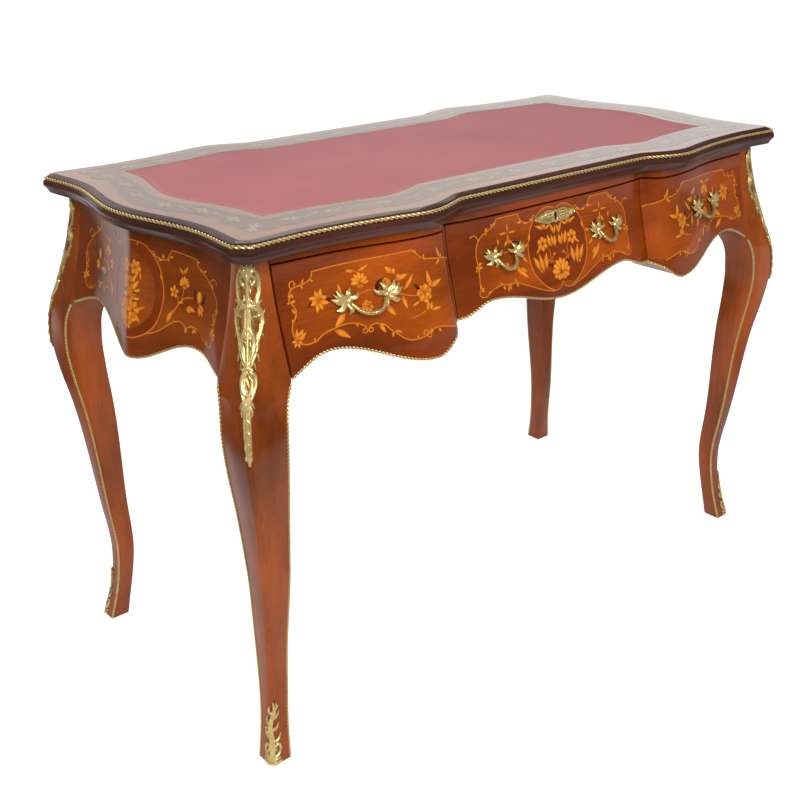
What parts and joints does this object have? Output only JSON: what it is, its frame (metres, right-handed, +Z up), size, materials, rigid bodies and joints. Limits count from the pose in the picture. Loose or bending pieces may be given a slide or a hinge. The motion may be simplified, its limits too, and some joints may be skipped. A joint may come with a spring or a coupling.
{
  "type": "writing table with drawers",
  "caption": "Bombe writing table on cabriole legs: leather lined top, shaped drawers in the apron, floral marquetry, brass mounts and drop handles.",
  "frame": {"origin": "on the floor, under the middle of the top", "axes": "+Z up, drawers face -Y, +X to the right of someone facing the drawers"},
  "size_m": [1.1666, 0.6141, 0.78],
  "materials": {
    "veneer": "glossy red-brown veneer with floral marquetry",
    "oak": "plain unpolished secondary wood",
    "dark_moulding": "dark polished solid wood",
    "leather": "smooth dark red leather with a gold tooled edge",
    "gilt_brass": "polished cast brass",
    "plain_brass": "plain turned brass",
    "iron": "plain iron and steel"
  },
  "bodies": {
    "carcase": {"apron_rope_strips": "gilt_brass", "back_apron_centre": "veneer", "back_apron_left": "veneer", "back_apron_right": "veneer", "corner_mount_back_left": "gilt_brass", "corner_mount_back_right": "gilt_brass", "corner_mount_front_left": "gilt_brass", "corner_mount_front_right": "gilt_brass", "drawer_linings": "oak", "drawer_partitions": "oak", "drawer_runners": "oak", "drawer_stops": "oak", "end_panel_left": "veneer", "end_panel_right": "veneer", "front_rail": "veneer", "glue_blocks": "oak", "leather_inset": "leather", "leg_back_left": "veneer", "leg_back_right": "veneer", "leg_front_left": "veneer", "leg_front_right": "veneer", "leg_rope_strips": "gilt_brass", "sabot_back_left": "gilt_brass", "sabot_back_right": "gilt_brass", "sabot_front_left": "gilt_brass", "sabot_front_right": "gilt_brass", "top_corner_blocks": "dark_moulding", "top_moulding_back": "dark_moulding", "top_moulding_front": "dark_moulding", "top_moulding_left": "dark_moulding", "top_moulding_right": "dark_moulding", "top_panel": "veneer", "top_rope_bead": "gilt_brass", "top_screws": "iron"},
    "drawer_left": {"drawer_left_back": "oak", "drawer_left_bottom": "oak", "drawer_left_front": "veneer", "drawer_left_handle_nuts": "plain_brass", "drawer_left_rope_strip": "gilt_brass", "drawer_left_sides": "oak", "handle_left": "gilt_brass"},
    "drawer_centre": {"drawer_centre_back": "oak", "drawer_centre_bottom": "oak", "drawer_centre_front": "veneer", "drawer_centre_handle_nuts": "plain_brass", "drawer_centre_rope_strip": "gilt_brass", "drawer_centre_sides": "oak", "escutcheon": "gilt_brass", "handle_centre_left": "gilt_brass", "handle_centre_right": "gilt_brass", "lock_body": "iron"},
    "drawer_right": {"drawer_right_back": "oak", "drawer_right_bottom": "oak", "drawer_right_front": "veneer", "drawer_right_handle_nuts": "plain_brass", "drawer_right_rope_strip": "gilt_brass", "drawer_right_sides": "oak", "handle_right": "gilt_brass"},
    "lock_bolt": {"lock_bolt": "iron"}
  },
  "joints": [
    {"name": "drawer_left_slide", "type": "slide", "parent": "carcase", "child": "drawer_left", "axis": [0, -1, 0], "range_m": [0, 0.26]},
    {"name": "drawer_centre_slide", "type": "slide", "parent": "carcase", "child": "drawer_centre", "axis": [0, -1, 0], "range_m": [0, 0.26]},
    {"name": "drawer_right_slide", "type": "slide", "parent": "carcase", "child": "drawer_right", "axis": [0, -1, 0], "range_m": [0, 0.26]},
    {"name": "lock_bolt_slide", "type": "slide", "parent": "drawer_centre", "child": "lock_bolt", "axis": [0, 0, 1], "range_m": [0, 0.0065]}
  ]
}
